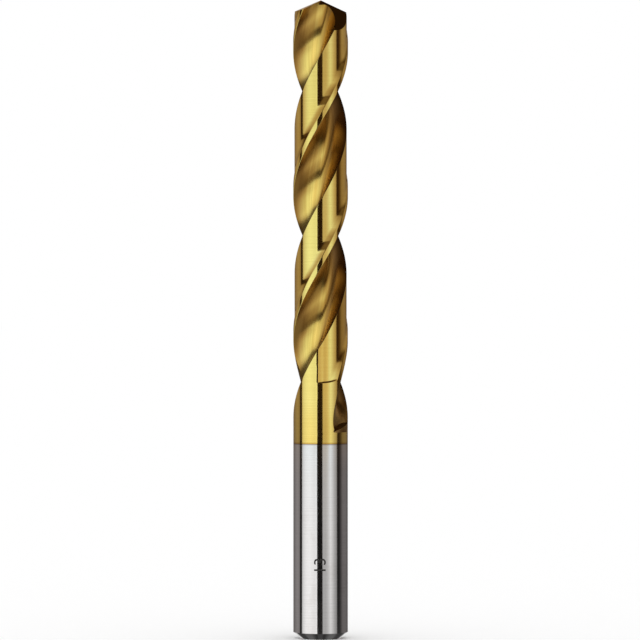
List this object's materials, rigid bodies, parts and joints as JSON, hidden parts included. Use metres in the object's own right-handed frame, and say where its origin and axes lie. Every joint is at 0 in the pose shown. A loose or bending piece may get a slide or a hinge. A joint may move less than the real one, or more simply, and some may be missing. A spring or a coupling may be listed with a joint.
{
  "type": "twist drill bit",
  "caption": "Twist drill bit for metal with helical flutes, narrow margins, a split point and a plain straight shank with a chamfered end.",
  "frame": {"origin": "centre of the flat face at the end of the shank", "axes": "+Z along the axis of the drill towards its point, -Y towards the side that the picture shows, so that one lip's outer corner is at the front left"},
  "size_m": [0.013, 0.013, 0.151],
  "materials": {
    "coated_steel": "ground and golden titanium nitride coated over the flutes and the upper shank, bare ground steel below"
  },
  "bodies": {
    "root": {"twist_drill_bit": "coated_steel"}
  },
  "joints": []
}
